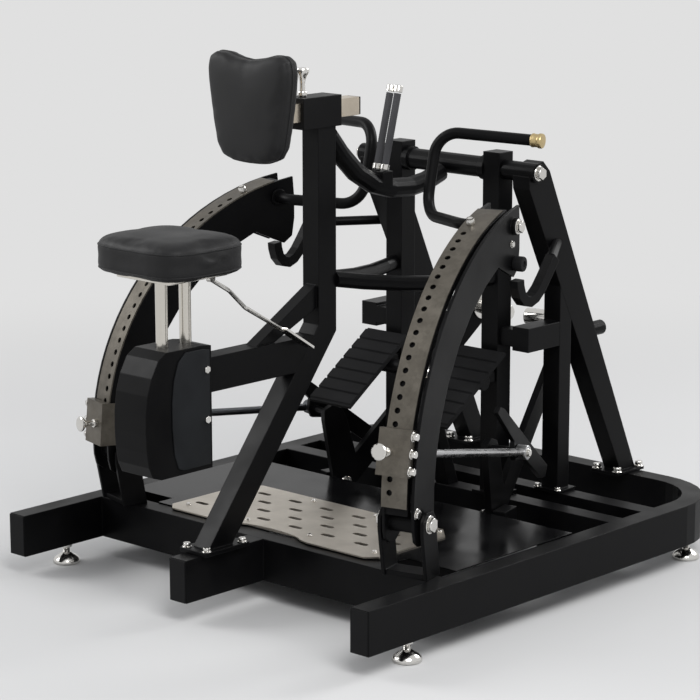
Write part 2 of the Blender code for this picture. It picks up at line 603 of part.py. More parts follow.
# Perforated strips on the levers' outer edges.
strip = band(ARC_R, ARC_R + STRIP_T, TOP_A + 5, STRIP_LOW, -PLATE_N, STRIP_TO - 0.0005, 30)
punch = bmesh.new()
HOLE_N = -0.024
for i in range(HOLES):
    degrees = HOLE_FIRST + HOLE_STEP * i
    inner = on_arc(ARC_R - 0.01, degrees)
    outer = on_arc(ARC_R + 0.015, degrees)
    turn = math.radians(degrees + 90)
    side = (math.cos(turn), math.sin(turn))
    rims = []
    for spot in (inner, outer):
        ring = []
        for k in range(8):
            a = math.radians(45 * k + 22.5)
            ring.append(punch.verts.new((HOLE_N + HOLE_R * math.cos(a), spot[0] + side[0] * HOLE_R * math.sin(a),
                                         spot[1] + side[1] * HOLE_R * math.sin(a))))
        rims.append(ring)
    punch.faces.new(rims[0])
    punch.faces.new(rims[1])
    for k in range(8):
        j = (k + 1) % 8
        punch.faces.new((rims[0][k], rims[0][j], rims[1][j], rims[1][k]))
strip = cut(strip, put("punch", punch))
stop_at = on_arc(ARC_R + STRIP_T - 0.001, 110.5)
stop_to = on_arc(ARC_R + STRIP_T + 0.018, 110.5)
strip = fuse(strip, rod((HOLE_N, *stop_at), (HOLE_N, *stop_to), 0.010, 10))
pair("strip", strip, LEVER, HINGE)

# Handles: C-shaped bent tubes from the levers' inner faces, open outwards.
root = LEVER @ Vector((-PLATE_N - GAP, 0.435, 0.745))
toward = LEVER.to_3x3() @ Vector((-1, 0, 0))
handle_path = rounded([root, root + toward * 0.055, Vector((0.122, 0.862, 1.025)), Vector((0.118, 0.912, 1.254)),
                       Vector((0.40, 0.985, 1.246))], 0.07, 5)
handle = sweep(handle_path, round_section(HANDLE_R, 14), (0, 1, 0))
tip_way = (handle_path[-1] - handle_path[-2]).normalized()
tip = handle_path[-1] + tip_way * GAP
cap = lathe([(0.0185, 0), (0.0195, 0.004), (0.0185, 0.009), (0.0185, 0.02), (0.0205, 0.023), (0.0205, 0.031), (0.017, 0.034)], tip, tip_way, 16)
pair("handle", handle, Matrix(), HINGE)
pair("handle_cap", cap, Matrix(), HINGE)

# Bumpers on the levers' outer faces.
bumper = lathe([(0.019, 0), (0.021, 0.003), (0.021, 0.027), (0.018, 0.030)], (PLATE_N + GAP, 0.458, 0.645), (1, 0, 0), 16)
pair("bumper", bumper, LEVER, HINGE)

# Parking hooks under the levers' bumpers, each on an arm from its stay's outer face.
HOOK_X = 0.462
HOOK_Z = 0.922
jay = [Vector((HOOK_X, y, z)) for y, z in ((0.850, 0.880), (0.852, 0.862), (0.860, 0.838), (0.877, 0.820), (0.899, 0.815), (0.923, 0.824),
                                          (0.945, 0.843), (0.969, 0.873), (0.995, 0.908), (1.007, 0.925))]
bar_section = [(-0.0145, -0.015), (0.0145, -0.015), (0.0145, 0.015), (-0.0145, 0.015)]
arm_end = leg_y(HOOK_Z) + 0.05
hook = fuse(sweep(jay, bar_section, (1, 0, 0)), rod((HOOK_X, 1.0, HOOK_Z), (STAY_OUT - 0.042, arm_end, HOOK_Z), 0.014, 14))
pair("hook", cut(hook, box(0, STAY_OUT + GAP, 1.0, arm_end + 0.1, HOOK_Z - 0.1, HOOK_Z + 0.1)))


# Carriages: a block round each strip, held by a pull pin. A tongue reaches through the lever's slot to the push rod.
def radial(degrees):
    """The frame (across, outwards along the radius, along the arc) at this angle of the arc."""
    turn = math.radians(degrees)
    out = Vector((0, math.cos(turn), math.sin(turn)))
    along = Vector((0, -math.sin(turn), math.cos(turn)))
    rows = Matrix((Vector((1, 0, 0)), out, along)).transposed().to_4x4()
    return Matrix.Translation((0, ARC_U, ARC_W)) @ rows


outer_r = ARC_R + STRIP_T
HALF_C = 0.062
SIDE_N = PLATE_N + 0.003
CHEEK_T = 0.005
BLOCK_T = 0.022


def carriage():
    bolts = [rod((TONGUE_1 - 0.001, outer_r + BLOCK_T / 2, h), (TONGUE_1 + 0.015, outer_r + BLOCK_T / 2, h), 0.009, 10)
             for h in (0.045, 0, -0.045)]
    return fuse(
        box(-SIDE_N - CHEEK_T, TONGUE_1, outer_r + 0.0005, outer_r + BLOCK_T, -HALF_C, HALF_C),
        box(-SIDE_N - CHEEK_T + 0.0004, -SIDE_N, ARC_R - 0.045, outer_r + 0.006, -HALF_C + 0.001, HALF_C - 0.001),
        box(TONGUE_0, TONGUE_1 - 0.0004, ARC_R - 0.03, outer_r + 0.007, -HALF_C + 0.002, HALF_C - 0.002),
        *bolts,
        box(TONGUE_0 + 0.0004, TONGUE_1 - 0.0008, ARC_R - TONGUE_END, outer_r + 0.005, -0.009, 0.009),
        rod((TONGUE_0 + 0.0002, ARC_R - TONGUE_END, 0), (TONGUE_1 - 0.0006, ARC_R - TONGUE_END, 0), EYE_R, 16),
    )


def pull_pin():
    return lathe([(0.012, 0), (0.012, 0.010), (0.008, 0.0105), (0.007, 0.028), (0.010, 0.036), (0.021, 0.047), (0.022, 0.053), (0.016, 0.055)],
                 (HOLE_N, outer_r + BLOCK_T + GAP, 0), (0, 1, 0), 16)


def push_rod():
    return fuse(
        rod((ROD_N, 0.012, 0), (ROD_N, ARC_R - TONGUE_END - EYE_R - 0.0004, 0), ROD_R, 14),
        rod((ROD_N - 0.018, 0, 0), (ROD_N + 0.014, 0, 0), 0.021, 18),
        rod((ROD_N + 0.013, 0, 0), (ROD_N + 0.020, 0, 0), 0.011, 8),
    )


for tag, sign, degrees in (("right", 1, CARRIAGE_RIGHT), ("left", -1, CARRIAGE_LEFT)):
    frame = LEVER @ radial(degrees)
    for name, make, spot in (("carriage", carriage, (0, 0, 0)), ("pull_pin", pull_pin, (HOLE_N, outer_r, 0)),
                             ("push_rod", push_rod, (ROD_N, ARC_R - TONGUE_END, 0))):
        obj = make()
        obj.data.transform(frame)
        where = frame @ Vector(spot)
        if frame.determinant() < 0:
            obj.data.flip_normals()
        if sign < 0:
            other = mirrored(obj)
            bpy.data.objects.remove(obj)
            obj = other
            where.x = -where.x
        name_it(name + "_" + tag, obj, where)

# Weight arm bases: a block on the low inner rail with the arm's axle.
sheet_w = LOW_RAIL + GAP - PIVOT.z
arm_in = ARM_N - ARM_T / 2
arm_out = ARM_N + ARM_T / 2
arm_base = fuse(
    box(-arm_in + 0.006, -arm_in + 0.044, AXLE_U - 0.04, AXLE_U + 0.04, sheet_w, AXLE_W + 0.03),
    rod((-arm_out - 0.014, AXLE_U, AXLE_W), (-arm_in + 0.02, AXLE_U, AXLE_W), AXLE_R, 16),
    rod((-arm_out - 0.016, AXLE_U, AXLE_W), (-arm_out - 0.002, AXLE_U, AXLE_W), 0.021, 12),
)
pair("arm_base", arm_base, LEVER, LEVER @ Vector((0, AXLE_U, AXLE_W)))

# Weight arms: plate levers from the axle back to the horn. A pin joins each to the rocker plate beside the push rod's eye.
arm_shape = [(0.598, -0.150), (0.625, -0.166), (0.655, -0.155), (1.15, 0.318), (1.172, 0.350), (1.160, 0.382), (1.128, 0.386),
             (0.672, -0.045), (0.640, 0.070), (0.622, 0.100), (0.590, 0.112), (0.562, 0.098), (0.562, 0.066), (0.592, -0.10)]
rocker_shape = [(0.454, 0.222), (0.470, 0.236), (0.497, 0.226), (0.689, 0.078), (0.795, -0.003), (0.782, -0.035), (0.755, -0.033),
                (0.649, 0.044), (0.605, 0.056), (0.573, 0.060), (0.560, 0.084), (0.566, 0.118)]
pin_end = ROD_N - 0.0195
arm = fuse(
    prism(arm_shape, -arm_out, -arm_in),
    rod((-arm_in - 0.002, ARC_U, ARC_W), (pin_end - 0.002, ARC_U, ARC_W), 0.011, 14),
    prism(rocker_shape, pin_end - 0.014, pin_end),
)
arm = cut(arm, rod((-0.2, AXLE_U, AXLE_W), (0.1, AXLE_U, AXLE_W), AXLE_R + 0.0005, 18))
pair("weight_arm", arm, LEVER, LEVER @ Vector((0, AXLE_U, AXLE_W)))

# Plate horns, pointing inwards from the rear ends of the arms.
horn = lathe([(0.040, 0), (0.040, 0.006), (HORN_R, 0.0062), (HORN_R, HORN_L - 0.003), (HORN_R - 0.003, HORN_L)],
             (-arm_out - GAP, HORN_U, HORN_W), (-1, 0, 0), 18)
pair("horn", horn, LEVER, LEVER @ Vector((0, AXLE_U, AXLE_W)))

# The origin moves to the middle of the outer box's floor, between the seat pad's front edge and the stays' feet.
ORIGIN_Y = (SEAT_MID - SEAT_DEEP + FOOT_Y + FOOT_BACK) / 2
for piece in scene.collection.objects:
    piece.location.y -= ORIGIN_Y
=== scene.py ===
import math

import bmesh
import bpy
from mathutils import Matrix, Vector
from mathutils.bvhtree import BVHTree


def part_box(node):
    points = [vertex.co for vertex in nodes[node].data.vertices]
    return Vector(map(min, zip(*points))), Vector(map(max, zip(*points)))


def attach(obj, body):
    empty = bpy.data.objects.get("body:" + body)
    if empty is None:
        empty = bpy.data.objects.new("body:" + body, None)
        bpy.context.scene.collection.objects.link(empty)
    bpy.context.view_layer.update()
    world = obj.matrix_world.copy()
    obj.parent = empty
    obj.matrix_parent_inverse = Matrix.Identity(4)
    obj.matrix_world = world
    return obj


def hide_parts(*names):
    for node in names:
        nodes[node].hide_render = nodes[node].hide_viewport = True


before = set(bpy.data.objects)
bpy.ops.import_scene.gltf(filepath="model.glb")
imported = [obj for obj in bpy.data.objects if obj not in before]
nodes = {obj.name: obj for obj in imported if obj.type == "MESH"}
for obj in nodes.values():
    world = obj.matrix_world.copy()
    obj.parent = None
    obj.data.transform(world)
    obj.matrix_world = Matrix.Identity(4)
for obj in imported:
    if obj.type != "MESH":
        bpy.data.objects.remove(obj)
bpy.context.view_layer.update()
scene = bpy.context.scene
SIDES = (("right", 1), ("left", -1))
UP = Vector((0, 0, 1))
# Places below count from the front ends of the base rails, so each piece moves by SHIFT to where those lie.
SHIFT = Vector((0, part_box("base_frame")[0].y, 0))


# Studio: a pale seamless floor with plain soft light, as in a catalogue picture.
# The floor is matt light grey board that fades into the backdrop, so its far edge never shows.
def linear(code):
    """An sRGB hex colour as linear RGBA."""
    parts = [int(code[i:i + 2], 16) / 255 for i in (1, 3, 5)]
    return [c / 12.92 if c <= 0.04045 else ((c + 0.055) / 1.055) ** 2.4 for c in parts] + [1.0]


def node(tree, kind, links=None, **settings):
    """One node, with its settings and with its sockets set to values or linked to other nodes."""
    made = tree.nodes.new(kind)
    for name, value in settings.items():
        setattr(made, name, value)
    for name, value in (links or {}).items():
        if isinstance(value, tuple) and isinstance(value[0], bpy.types.Node):
            tree.links.new(value[0].outputs[value[1]], made.inputs[name])
        else:
            made.inputs[name].default_value = value
    return made


def ramp(tree, source, *stops):
    """A two-colour ramp driven by a node, from (position, hex colour) stops."""
    made = node(tree, "ShaderNodeValToRGB", {"Fac": (source, 0)})
    for element, (position, code) in zip(made.color_ramp.elements, stops):
        element.position = position
        element.color = linear(code)
    return made


def uneven(tree, noise, low, high):
    """A roughness that wanders between two values with a noise."""
    reach = {"Value": (noise, 0), "From Min": 0.3, "From Max": 0.7, "To Min": low, "To Max": high}
    return node(tree, "ShaderNodeMapRange", reach)


def either(tree, *signals):
    """The largest of some 0 or 1 signals, each a (node, output) pair."""
    first = signals[0]
    for other in signals[1:]:
        first = (node(tree, "ShaderNodeMath", {0: first, 1: other}, operation="MAXIMUM"), 0)
    return first


def blank(name):
    """A new material with an empty node tree."""
    made = bpy.data.materials.new(name)
    made.use_nodes = True
    made.node_tree.nodes.clear()
    return made, made.node_tree


BACKDROP = "#e0e0e0"
floor_paint, t = blank("matt_white_board")
place = node(t, "ShaderNodeTexCoord")
soft = node(t, "ShaderNodeTexNoise", {"Vector": (place, "Object"), "Scale": 0.6, "Detail": 2.0})
tint = ramp(t, soft, (0.0, "#cbcbcb"), (1.0, "#d1d1d1"))
board = node(t, "ShaderNodeBsdfPrincipled", {"Base Color": (tint, 0), "Roughness": 0.9, "Specular IOR Level": 0.1})
far = node(t, "ShaderNodeVectorMath", {0: (place, "Object")}, operation="LENGTH")
fade = node(t, "ShaderNodeMapRange", {"Value": (far, "Value"), "From Min": 1.4, "From Max": 4.5},
            interpolation_type="SMOOTHSTEP")
backdrop = node(t, "ShaderNodeEmission", {"Color": linear(BACKDROP)})
rays = node(t, "ShaderNodeLightPath")
shown = either(t, (rays, "Is Camera Ray"), (rays, "Is Glossy Ray"), (rays, "Is Transmission Ray"))
amount = node(t, "ShaderNodeMath", {0: (fade, 0), 1: shown}, operation="MULTIPLY")
sweep = node(t, "ShaderNodeMixShader", {0: (amount, 0), 1: (board, 0), 2: (backdrop, 0)})
node(t, "ShaderNodeOutputMaterial", {"Surface": (sweep, 0)})

FLOOR_HALF = 60
bm = bmesh.new()
bmesh.ops.create_grid(bm, x_segments=1, y_segments=1, size=FLOOR_HALF)
mesh = bpy.data.meshes.new("floor")
bm.to_mesh(mesh)
bm.free()
floor = bpy.data.objects.new("floor", mesh)
floor.data.materials.append(floor_paint)
scene.collection.objects.link(floor)

world = bpy.data.worlds.new("studio")
scene.world = world
world.use_nodes = True
t = world.node_tree
t.nodes.clear()
rays = node(t, "ShaderNodeLightPath")
shown = either(t, (rays, "Is Camera Ray"), (rays, "Is Transmission Ray"), (rays, "Is Glossy Ray"))
air = node(t, "ShaderNodeMixRGB", {"Fac": shown, "Color1": linear("#bfc0c2"), "Color2": linear(BACKDROP)})
sky = node(t, "ShaderNodeBackground", {"Color": (air, 0), "Strength": 1.0})
node(t, "ShaderNodeOutputWorld", {"Surface": (sky, 0)})

for name, spot, aim, wide, power in (
    ("key_softbox", (3.6, -1.6, 4.6), (0.1, 0.7, 0.6), 2.6, 190),
    ("left_softbox", (-4.2, -2.2, 3.6), (0.0, 0.6, 0.7), 2.4, 130),
    ("rear_strip", (1.5, 5.2, 3.6), (0.0, 0.9, 0.7), 2.2, 120),
):
    lamp = bpy.data.lights.new(name, "AREA")
    lamp.size = wide
    lamp.energy = power
    held = bpy.data.objects.new(name, lamp)
    held.location = Vector(spot) + SHIFT
    held.rotation_euler = (Vector(aim) - Vector(spot)).to_track_quat("-Z", "Y").to_euler()
    scene.collection.objects.link(held)

camera = bpy.data.cameras.new("camera")
camera.sensor_width = 36
camera.lens = 135.5
camera.shift_x = -0.0175
camera.shift_y = 0.065
camera.clip_end = 200
eye = bpy.data.objects.new("camera", camera)
eye.location = Vector((4.9381, -4.6619, 2.1853)) + SHIFT
eye.rotation_euler = (math.radians(77.0616), 0, math.radians(42.4851))
scene.collection.objects.link(eye)
scene.camera = eye
scene.view_settings.view_transform = "Standard"


# Base frame: 120 x 60 mm rectangular steel tube, mitred, welded and powder coated black.
# Cured powder has a faint orange-peel skin about 3 mm across and a satin gloss that varies a little.
def coat(name, colours, rough, grain_mm, depth, rounding):
    """Powder coat on steel: an orange-peel bump, uneven gloss, and edges that catch the light."""
    made, t = blank(name)
    place = node(t, "ShaderNodeTexCoord")
    peel = node(t, "ShaderNodeTexNoise", {"Vector": (place, "Object"), "Scale": 1000 / grain_mm, "Detail": 2.0})
    dust = node(t, "ShaderNodeTexNoise", {"Vector": (place, "Object"), "Scale": 7.0, "Detail": 5.0})
    gloss = uneven(t, dust, rough - 0.06, rough + 0.10)
    shade = ramp(t, dust, (0.35, colours[0]), (0.75, colours[1]))
    edge = node(t, "ShaderNodeBevel", {"Radius": rounding}, samples=4)
    bump = node(t, "ShaderNodeBump", {"Height": (peel, 0), "Normal": (edge, 0), "Strength": depth, "Distance": 0.0004})
    skin = node(t, "ShaderNodeBsdfPrincipled", {"Base Color": (shade, 0), "Roughness": (gloss, 0), "Normal": (bump, 0),
                                                "Specular IOR Level": 0.1})
    node(t, "ShaderNodeOutputMaterial", {"Surface": (skin, 0)})
    return made


def wear(names, material):
    """Puts one finish on these CAD nodes."""
    for name in names:
        mesh = nodes[name].data
        mesh.materials.clear()
        mesh.materials.append(material)


black_coat = coat("black_powder_coat", ("#060607", "#0d0d0e"), 0.36, 3.0, 0.25, 0.004)
PAIRED = ("upright", "stay", "curved_tie", "hook", "lever_base", "lever", "arm_base", "weight_arm")
wear(["base_frame", "chest_column", "top_shaft", "spine_brace", "footrest_bar"], black_coat)
wear([part + "_" + tag for part in PAIRED for tag, _ in SIDES], black_coat)
cap_plastic = coat("moulded_black_cap", ("#0f0f10", "#171718"), 0.5, 1.2, 0.3, 0.003)
wear(["rail_cap_left", "rail_cap_mid", "rail_cap_right"], cap_plastic)
wear(["floor_sheet"], coat("gloss_black_sheet", ("#0a0a0b", "#0f0f10"), 0.16, 8.0, 0.05, 0.001))


# Levelling feet: chromed steel bells on threaded stems with lock nuts.
# Plated steel, bright, with a slight warm cast and soft handling marks.
def plated(name, colour, rough):
    """Bright plating: full metal with faint smudges in its polish."""
    made, t = blank(name)
    place = node(t, "ShaderNodeTexCoord")
    smudge = node(t, "ShaderNodeTexNoise", {"Vector": (place, "Object"), "Scale": 30.0, "Detail": 1.0})
    polish = uneven(t, smudge, rough, rough + 0.14)
    metal = node(t, "ShaderNodeBsdfPrincipled", {"Base Color": linear(colour), "Metallic": 1.0,
                                                 "Roughness": (polish, 0)})
    node(t, "ShaderNodeOutputMaterial", {"Surface": (metal, 0)})
    return made


chrome = plated("chrome_plate", "#d8d6d2", 0.09)
SHARP = math.radians(35)
WELD = 1e-6


def finish_mesh(name, bm, material, body, slot, *stands_for):
    """Closes the bmesh as a piece that rides on a body and may stand for CAD nodes."""
    bmesh.ops.translate(bm, verts=bm.verts, vec=SHIFT)
    bmesh.ops.remove_doubles(bm, verts=bm.verts, dist=WELD)
    bmesh.ops.recalc_face_normals(bm, faces=bm.faces)
    mesh = bpy.data.meshes.new(name)
    bm.to_mesh(mesh)
    bm.free()
    mesh.polygons.foreach_set("use_smooth", [True] * len(mesh.polygons))
    mesh.set_sharp_from_angle(angle=SHARP)
    made = bpy.data.objects.new(name, mesh)
    mesh.materials.append(material)
    scene.collection.objects.link(made)
    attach(made, body)
    if stands_for:
        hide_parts(*stands_for)
    return made


def turned(bm, profile, start, axis, steps=40):
    """Spins a chain of (radius, distance) points round the axis, with both ends closed on it."""
    axis = Vector(axis).normalized()
    side = axis.orthogonal().normalized()
    chain = [(0.0, profile[0][1])] + list(profile) + [(0.0, profile[-1][1])]
    verts = [bm.verts.new(Vector(start) + axis * along + side * radius) for radius, along in chain]
    edges = [bm.edges.new(pair) for pair in zip(verts, verts[1:])]
    bmesh.ops.spin(bm, geom=verts + edges, cent=start, axis=axis, angle=2 * math.pi, steps=steps, use_merge=True)
    bmesh.ops.remove_doubles(bm, verts=bm.verts, dist=WELD)


def soften(bm, edges, width, segments=2):
    """Rounds these edges."""
    bmesh.ops.bevel(bm, geom=edges, offset=width, offset_type="OFFSET", segments=segments, profile=0.5, affect="EDGES",
                    material=-1)


def edges_of(made):
    """The edges of a primitive that was just made."""
    return list({e for v in made["verts"] for e in v.link_edges})


BELL = [(0.036, 0), (0.0395, 0.002), (0.040, 0.006), (0.0385, 0.012), (0.033, 0.018), (0.025, 0.0235), (0.017, 0.028),
        (0.014, 0.031), (0.0095, 0.032)]
THREAD = [(0.0095 if k % 2 else 0.0105, 0.033 + 0.0015 * k) for k in range(10)]
for tag in ("front_left", "front_right", "rear_left", "rear_right"):
    low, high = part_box("foot_" + tag)
    x, y = (low.x + high.x) / 2, (low.y + high.y) / 2 - SHIFT.y
    top = high.z - low.z
    nut = [(0.0155, 0.048), (0.0165, 0.049), (0.0165, top - 0.0015), (0.0155, top - 0.0005)]
    bm = bmesh.new()
    turned(bm, BELL + THREAD + nut, Vector((x, y, low.z)), UP)
    finish_mesh("levelling_foot_" + tag, bm, chrome, "frame", "chrome", "foot_" + tag)


# Step plate: a punched stainless sheet on the floor sheet, brushed across the machine.
# Brushing draws fine lines along X, drawn about 1.5 mm apart so that they show.
def brushed(name, colours, rough):
    """Brushed metal: a noise drawn out along X in colour, gloss and bump."""
    made, t = blank(name)
    place = node(t, "ShaderNodeTexCoord")
    drawn = node(t, "ShaderNodeMapping", {"Vector": (place, "Object"), "Scale": (0.06, 1.0, 1.0)})
    lines = node(t, "ShaderNodeTexNoise", {"Vector": (drawn, 0), "Scale": 1000 / 1.5, "Detail": 3.0})
    cloud = node(t, "ShaderNodeTexNoise", {"Vector": (place, "Object"), "Scale": 14.0, "Detail": 4.0})
    both = node(t, "ShaderNodeMath", {0: (lines, 0), 1: (cloud, 0)}, operation="MULTIPLY")
    shade = ramp(t, both, (0.12, colours[0]), (0.42, colours[1]))
    gloss = uneven(t, lines, rough - 0.08, rough + 0.08)
    bump = node(t, "ShaderNodeBump", {"Height": (lines, 0), "Strength": 0.15, "Distance": 0.0002})
    metal = node(t, "ShaderNodeBsdfPrincipled", {"Base Color": (shade, 0), "Metallic": 1.0, "Roughness": (gloss, 0),
                                                 "Normal": (bump, 0)})
    node(t, "ShaderNodeOutputMaterial", {"Surface": (metal, 0)})
    return made


wear(["chest_bar"], brushed("brushed_stainless", ("#b7ac9c", "#dcd3c4"), 0.36))
wear(["step_plate"], brushed("brushed_step_plate", ("#b8b1a6", "#d2cbc0"), 0.38))


def hex_bolt(bm, spot, axis, radius, height):
    """A washer and a hexagon head with their rims chamfered, along the axis."""
    seat = Matrix.Translation(spot) @ Vector(axis).normalized().to_track_quat("Z", "Y").to_matrix().to_4x4()
    for sides, wide, low, high in ((28, radius * 1.28, 0.0, height * 0.22), (6, radius * 1.06, height * 0.2, height)):
        made = bmesh.ops.create_cone(bm, cap_ends=True, segments=sides, radius1=wide, radius2=wide, depth=high - low,
                                     matrix=seat @ Matrix.Translation((0, 0, (low + high) / 2)))
        rim = [e for e in edges_of(made) if len(e.link_faces) == 2 and e.calc_face_angle(0) > 1.0]
        soften(bm, rim, height * 0.08, segments=1)


bm = bmesh.new()
plate_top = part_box("step_plate")[1].z
for x in (-0.36, -0.12, 0.12, 0.36):
    for y in (0.385, 0.655):
        hex_bolt(bm, (x, y, plate_top), UP, 0.006, 0.005)
finish_mesh("step_plate_screws", bm, chrome, "frame", "chrome")


# Chest column: one mitred tube with a bolted foot, a square sleeve and a sprung pull knob.
# Its bolts and knob are chromed. The square bar in the sleeve is brushed stainless.
FOOT_TOP = 0.1924
HOUSING_FACE = 0.0602
bm = bmesh.new()
for x in (-0.038, 0.038):
    for y in (0.07, 0.205):
        hex_bolt(bm, (x, y, FOOT_TOP), UP, 0.0105, 0.012)
for z in (0.70, 0.565):
    hex_bolt(bm, (HOUSING_FACE, 0.055, z), (1, 0, 0), 0.010, 0.0085)
finish_mesh("column_bolts", bm, chrome, "frame", "chrome")

SLEEVE_Y = 0.49
KNOB = [(0.0125, 0), (0.013, 0.001), (0.013, 0.013), (0.012, 0.0145), (0.0088, 0.0148), (0.0078, 0.020),
        (0.0075, 0.034), (0.0085, 0.044), (0.0125, 0.056), (0.0175, 0.064), (0.0188, 0.069), (0.0188, 0.074),
        (0.017, 0.0775), (0.010, 0.0788)]
bm = bmesh.new()
turned(bm, KNOB, Vector((0, SLEEVE_Y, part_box("chest_pin")[0].z)), UP)
finish_mesh("chest_pull_knob", bm, chrome, "chest_pin", "chrome", "chest_pin")


def block(bm, middle, size, rounding):
    """A box with rounded edges."""
    made = bmesh.ops.create_cube(bm, size=1.0, matrix=Matrix.Translation(middle) @ Matrix.Diagonal((*size, 1)))
    soften(bm, edges_of(made), rounding)


BAR_Z = 1.337
bm = bmesh.new()
block(bm, (0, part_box("chest_bar")[1].y - SHIFT.y + 0.0012, BAR_Z), (0.049, 0.003, 0.049), 0.0012)
finish_mesh("chest_bar_plug", bm, cap_plastic, "chest_slide", "cap_plastic")


# Seat housing: a folded steel box with a matt dark grey side plate on each cheek.
# The plates are laser-cut sheet with rounded corners, bolted at the rear edge.
PLATE_IN = 0.0603
PLATE_T = 0.0035
SIDE_PLATE = [(0.066, 0.442), (0.066, 0.752), (0.045, 0.757), (-0.02, 0.757), (-0.045, 0.735), (-0.062, 0.69),
              (-0.07, 0.63), (-0.07, 0.56), (-0.064, 0.49), (-0.05, 0.449), (-0.03, 0.442)]
housing_coat = coat("matt_grey_coat", ("#1a1b1d", "#242628"), 0.5, 2.0, 0.35, 0.004)
wear(["seat_housing"], black_coat)
for tag, sign in SIDES:
    bm = bmesh.new()
    face = bm.faces.new([bm.verts.new((sign * PLATE_IN, y, z)) for y, z in SIDE_PLATE])
    bm.normal_update()
    made = bmesh.ops.extrude_face_region(bm, geom=[face])
    outer = [v for v in made["geom"] if isinstance(v, bmesh.types.BMVert)]
    bmesh.ops.translate(bm, verts=outer, vec=(sign * PLATE_T, 0, 0))
    rim = [e for e in bm.edges if all(v in outer for v in e.verts)]
    bmesh.ops.recalc_face_normals(bm, faces=bm.faces)
    soften(bm, rim, 0.0012)
    finish_mesh("housing_side_plate_" + tag, bm, housing_coat, "frame", "housing")

bm = bmesh.new()
for y in (-0.045, 0.04):
    turned(bm, [(0.0155, 0.62), (0.016, 0.6206), (0.016, 0.9505)], Vector((0, y, 0)), UP, 36)
block(bm, (0, -0.005, 0.956), (0.20, 0.21, 0.012), 0.003)
finish_mesh("seat_posts", bm, plated("polished_stainless", "#d6d2ca", 0.12), "seat", "stainless", "seat_carriage")
wear(["seat_release"], chrome)


# Seat and chest pads: foam on plywood under stitched leather-look vinyl, near black.
# Embossed grain is drawn about 3 mm across so that it shows. Pressed foam pulls the cover tight.
leather, t = blank("grained_vinyl")
place = node(t, "ShaderNodeTexCoord")
cells = node(t, "ShaderNodeTexVoronoi", {"Vector": (place, "Object"), "Scale": 330.0}, feature="DISTANCE_TO_EDGE")
worn = node(t, "ShaderNodeTexNoise", {"Vector": (place, "Object"), "Scale": 9.0, "Detail": 5.0})
shade = ramp(t, worn, (0.3, "#101011"), (0.72, "#181819"))
gloss = uneven(t, worn, 0.48, 0.62)
grain = node(t, "ShaderNodeBump", {"Height": (cells, 0), "Strength": 0.35, "Distance": 0.0006})
hide = node(t, "ShaderNodeBsdfPrincipled", {"Base Color": (shade, 0), "Roughness": (gloss, 0), "Normal": (grain, 0),
                                            "Sheen Weight": 0.03, "Specular IOR Level": 0.25})
node(t, "ShaderNodeOutputMaterial", {"Surface": (hide, 0)})


VOXEL = 0.006
PRESSURE = 4.0
FRAMES = 20
STITCH = 0.008
SHORTEST = 0.003


def baked(made):
    """An object's mesh with its modifiers applied, which are then removed."""
    graph = bpy.context.evaluated_depsgraph_get()
    mesh = bpy.data.meshes.new_from_object(made.evaluated_get(graph))
    made.modifiers.clear()
    return mesh


def stuffed(name, source, shrink, limit, body):
    """A padded piece from a CAD cushion: remeshed, blown up as cloth, held to a small move, then smoothed."""
    bm = bmesh.new()
    bm.from_mesh(nodes[source].data)
    bmesh.ops.remove_doubles(bm, verts=bm.verts, dist=1e-5)
    low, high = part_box(source)
    middle = (low + high) / 2
    bmesh.ops.translate(bm, verts=bm.verts, vec=-middle)
    for v in bm.verts:
        v.co = Vector([c * (1 - shrink / reach) for c, reach in zip(v.co, high - low)])
    bmesh.ops.translate(bm, verts=bm.verts, vec=middle)
    mesh = bpy.data.meshes.new(name)
    bm.to_mesh(mesh)
    bm.free()
    made = bpy.data.objects.new(name, mesh)
    scene.collection.objects.link(made)
    fine = made.modifiers.new("fine", "REMESH")
    fine.mode = "VOXEL"
    fine.voxel_size = VOXEL
    made.data = baked(made)
    rest = [v.co.copy() for v in made.data.vertices]
    cloth = made.modifiers.new("stuffing", "CLOTH")
    cloth.settings.use_pressure = True
    cloth.settings.uniform_pressure_force = PRESSURE
    cloth.settings.effector_weights.gravity = 0.0
    cloth.settings.quality = 5
    cloth.settings.mass = 0.2
    for moment in range(1, FRAMES + 1):
        scene.frame_set(moment)
    swollen = baked(made)
    drift = sum((v.co - r for v, r in zip(swollen.vertices, rest)), Vector()) / len(rest)
    for v, r in zip(swollen.vertices, rest):
        step = v.co - r - drift
        v.co = r + step * (min(1.0, limit / step.length) if step.length > 1e-9 else 1.0)
    made.data = swollen
    scene.frame_set(1)
    ease = made.modifiers.new("ease", "SMOOTH")
    ease.factor = 0.5
    ease.iterations = 4
    rounder = made.modifiers.new("rounder", "SUBSURF")
    rounder.levels = 1
    rounder.render_levels = 1
    final = baked(made)
    made.data = final
    final.polygons.foreach_set("use_smooth", [True] * len(final.polygons))
    final.materials.clear()
    final.materials.append(leather)
    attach(made, body)
    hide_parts(source)
    return made


def tube(name, points, radius, material, body, slot, *stands_for, closed=False, corner=10):
    """A round tube or cord along a line, with closed ends, made a mesh."""
    line = bpy.data.curves.new(name, "CURVE")
    line.dimensions = "3D"
    run = line.splines.new("POLY")
    run.points.add(len(points) - 1)
    for p, q in zip(run.points, points):
        p.co = (*q, 1)
    run.use_cyclic_u = closed
    line.bevel_depth = radius
    line.bevel_resolution = corner
    line.use_fill_caps = not closed
    held = bpy.data.objects.new(name + "_line", line)
    scene.collection.objects.link(held)
    graph = bpy.context.evaluated_depsgraph_get()
    mesh = bpy.data.meshes.new_from_object(held.evaluated_get(graph))
    bpy.data.objects.remove(held)
    bm = bmesh.new()
    bm.from_mesh(mesh)
    bpy.data.meshes.remove(mesh)
    return finish_mesh(name, bm, material, body, slot, *stands_for)


